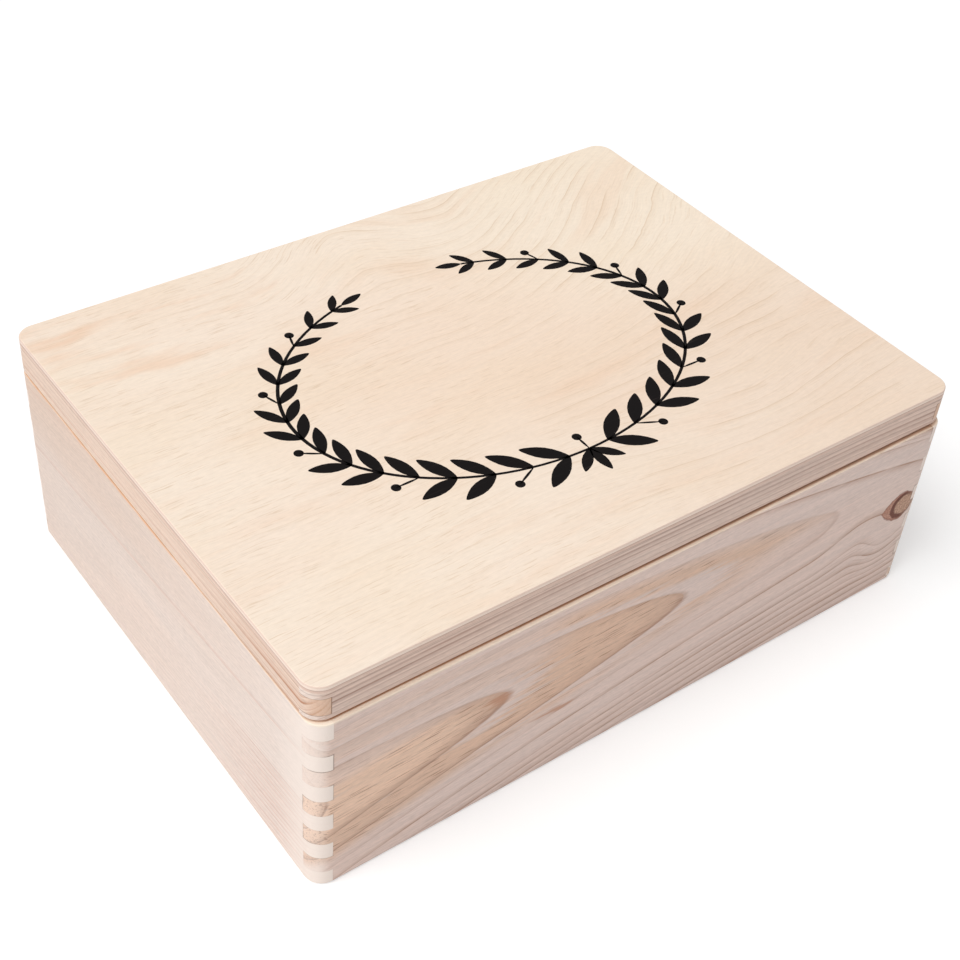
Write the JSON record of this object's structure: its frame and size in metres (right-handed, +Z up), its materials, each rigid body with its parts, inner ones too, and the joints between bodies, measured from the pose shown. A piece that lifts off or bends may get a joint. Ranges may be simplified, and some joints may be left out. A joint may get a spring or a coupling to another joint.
{
  "type": "hinged wooden box",
  "caption": "Low pine box with finger-jointed round corners and a plywood-topped lid that swings up on brass butt hinges, for papers and keepsakes.",
  "frame": {"origin": "on the surface the box stands on, under the middle of its footprint", "axes": "+X along the length to the right seen from the front, +Y to the hinged back, +Z up"},
  "size_m": [0.4, 0.3, 0.138],
  "materials": {
    "pine": "bare, sanded",
    "plywood": "bare, sanded",
    "brass": "plain, lightly polished"
  },
  "bodies": {
    "box": {"front_board": "pine", "back_board": "pine", "left_side_board": "pine", "right_side_board": "pine", "bottom_panel": "plywood", "left_hinge_body_leaf": "brass", "right_hinge_body_leaf": "brass", "left_hinge_pin": "brass", "right_hinge_pin": "brass", "hinge_body_screws": "brass"},
    "lid": {"lid_front_rail": "pine", "lid_back_rail": "pine", "lid_left_rail": "pine", "lid_right_rail": "pine", "lid_top_panel": "plywood", "left_hinge_lid_leaf": "brass", "right_hinge_lid_leaf": "brass", "hinge_lid_screws": "brass"}
  },
  "joints": [
    {"name": "lid_hinge", "type": "hinge", "parent": "box", "child": "lid", "pos_m": [0, 0.148, 0.1161], "axis": [-1, 0, 0], "range_deg": [0, 100]}
  ]
}
